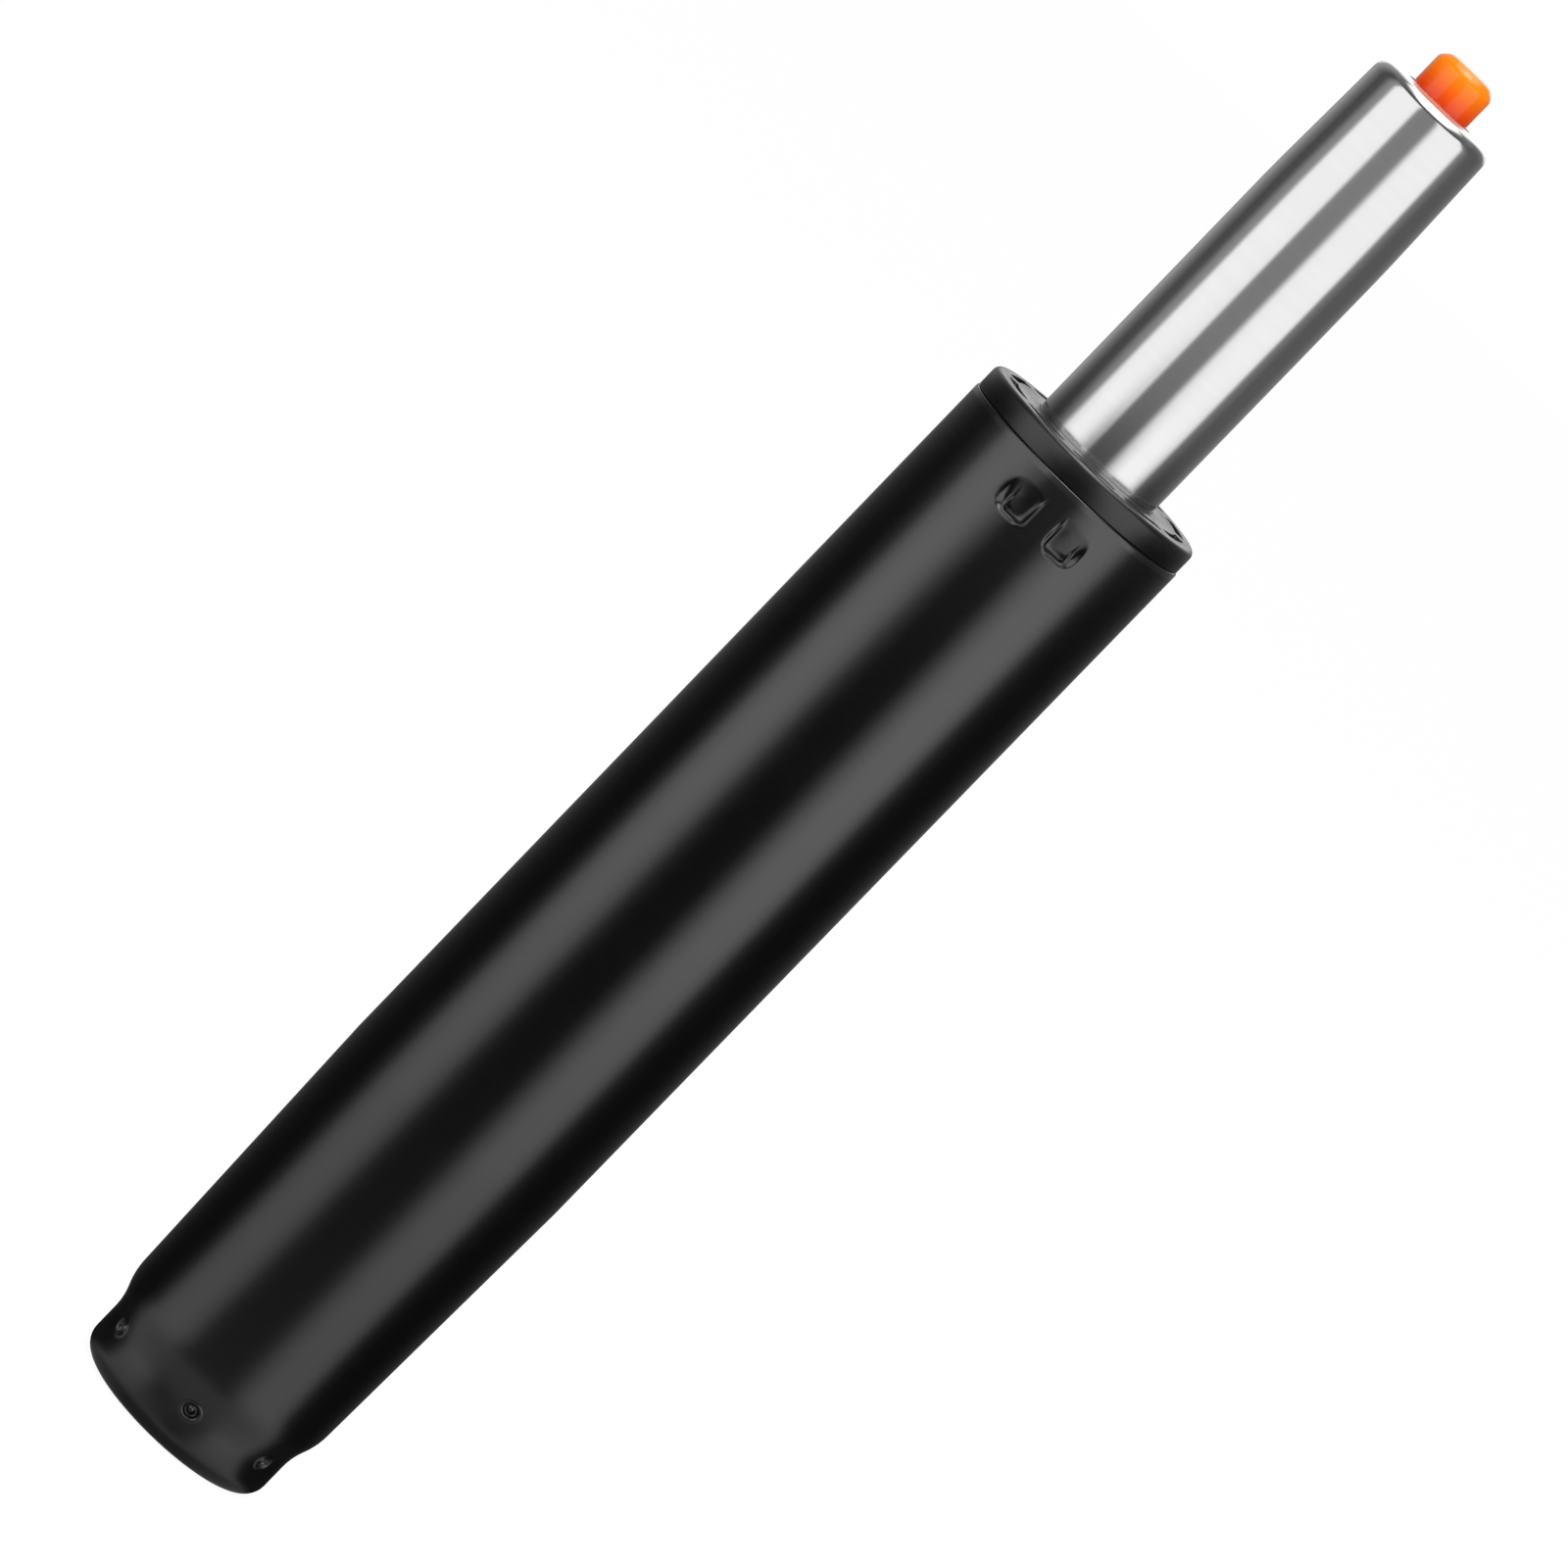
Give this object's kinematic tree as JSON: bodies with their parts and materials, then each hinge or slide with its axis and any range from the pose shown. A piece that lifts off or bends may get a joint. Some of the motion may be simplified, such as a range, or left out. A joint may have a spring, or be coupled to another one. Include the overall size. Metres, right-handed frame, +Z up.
{
  "type": "chair gas lift cylinder",
  "caption": "Telescopic gas lift for a swivel chair: black steel column with tapered foot, bright tapered pressure tube, orange release button, internal rod, valve and thrust bearing.",
  "frame": {"origin": "centre of the foot rim, in the plane that the standing column rests on", "axes": "+Z up the lift's axis towards the release button; -Y is the side with one pair of stakes; X completes the right-handed frame"},
  "size_m": [0.05, 0.05, 0.3453],
  "materials": {
    "black_paint": "satin black stove enamel",
    "black_polymer": "satin moulded",
    "bright_steel": "ground and polished",
    "orange_polymer": "gloss moulded",
    "plated_steel": "zinc plated",
    "bearing_steel": "polished",
    "ground_steel": "fine ground",
    "drawn_steel": "drawn",
    "spring_steel": "oil blackened",
    "cast_alloy": "turned casting",
    "turned_brass": "turned",
    "natural_polymer": "moulded",
    "black_rubber": "moulded"
  },
  "bodies": {
    "column": {"column_tube": "black_paint", "guide_sleeve": "black_polymer", "bottom_plate": "plated_steel", "bearing_lower_race": "bearing_steel"},
    "ball_ring": {"ball_cage": "natural_polymer", "bearing_balls": "bearing_steel"},
    "spindle": {"piston_rod": "ground_steel", "bearing_upper_race": "bearing_steel", "retaining_clip": "spring_steel", "clip_washer": "plated_steel", "buffer_washer": "plated_steel", "bump_stop": "black_rubber", "piston_washer": "plated_steel", "piston": "cast_alloy", "piston_ring": "natural_polymer", "piston_nut": "plated_steel"},
    "gas_cylinder": {"pressure_tube": "bright_steel", "rod_guide": "cast_alloy", "guide_o_ring": "black_rubber", "rod_seal": "black_rubber", "seal_retainer": "natural_polymer", "inner_tube": "drawn_steel", "valve_body": "cast_alloy", "valve_o_rings": "black_rubber", "pin_seals": "black_rubber", "valve_spacer": "natural_polymer", "seal_cap": "turned_brass"},
    "release": {"release_button": "orange_polymer", "release_pin": "ground_steel"}
  },
  "joints": [
    {"name": "swivel", "type": "hinge", "parent": "column", "child": "spindle", "pos_m": [0, 0, 0.01685], "axis": [0, 0, 1], "continuous": true},
    {"name": "ball_roll", "type": "hinge", "parent": "column", "child": "ball_ring", "pos_m": [0, 0, 0.01685], "axis": [0, 0, 1], "continuous": true},
    {"name": "lift", "type": "slide", "parent": "spindle", "child": "gas_cylinder", "axis": [0, 0, 1], "range_m": [-0.045, 0.075]},
    {"name": "button_press", "type": "slide", "parent": "gas_cylinder", "child": "release", "axis": [0, 0, -1], "range_m": [0, 0.004], "stiffness_N_per_m": 15000, "springref_m": -0.002}
  ],
  "couplings": [
    {"joint": "ball_roll", "follows": "swivel", "ratio": 0.5}
  ]
}
